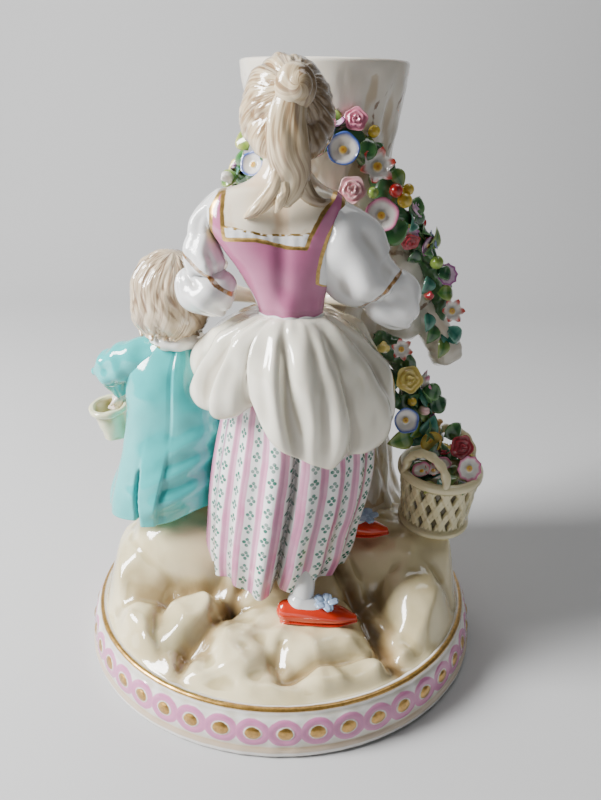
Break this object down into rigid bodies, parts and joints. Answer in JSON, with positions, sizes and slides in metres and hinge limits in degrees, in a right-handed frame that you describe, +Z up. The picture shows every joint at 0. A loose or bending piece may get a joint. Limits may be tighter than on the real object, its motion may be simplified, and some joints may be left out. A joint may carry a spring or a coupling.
{
  "type": "porcelain figure group",
  "caption": "Glazed porcelain group on a round rocky plinth: a girl seen from behind, a seated boy with a pail, a tree-trunk vase with a flower garland and a basket.",
  "frame": {"origin": "centre of the round plinth's underside", "axes": "+Z up along the plinth's axis; the girl's back faces -Y and the boy sits on her left side, towards -X; +X to the right, where the basket stands"},
  "size_m": [0.1765, 0.1742, 0.2435],
  "materials": {
    "glazed_porcelain": "glossy glaze over a white body, painted in enamel colours and gold"
  },
  "bodies": {
    "root": {"figure_group": "glazed_porcelain"}
  },
  "joints": []
}
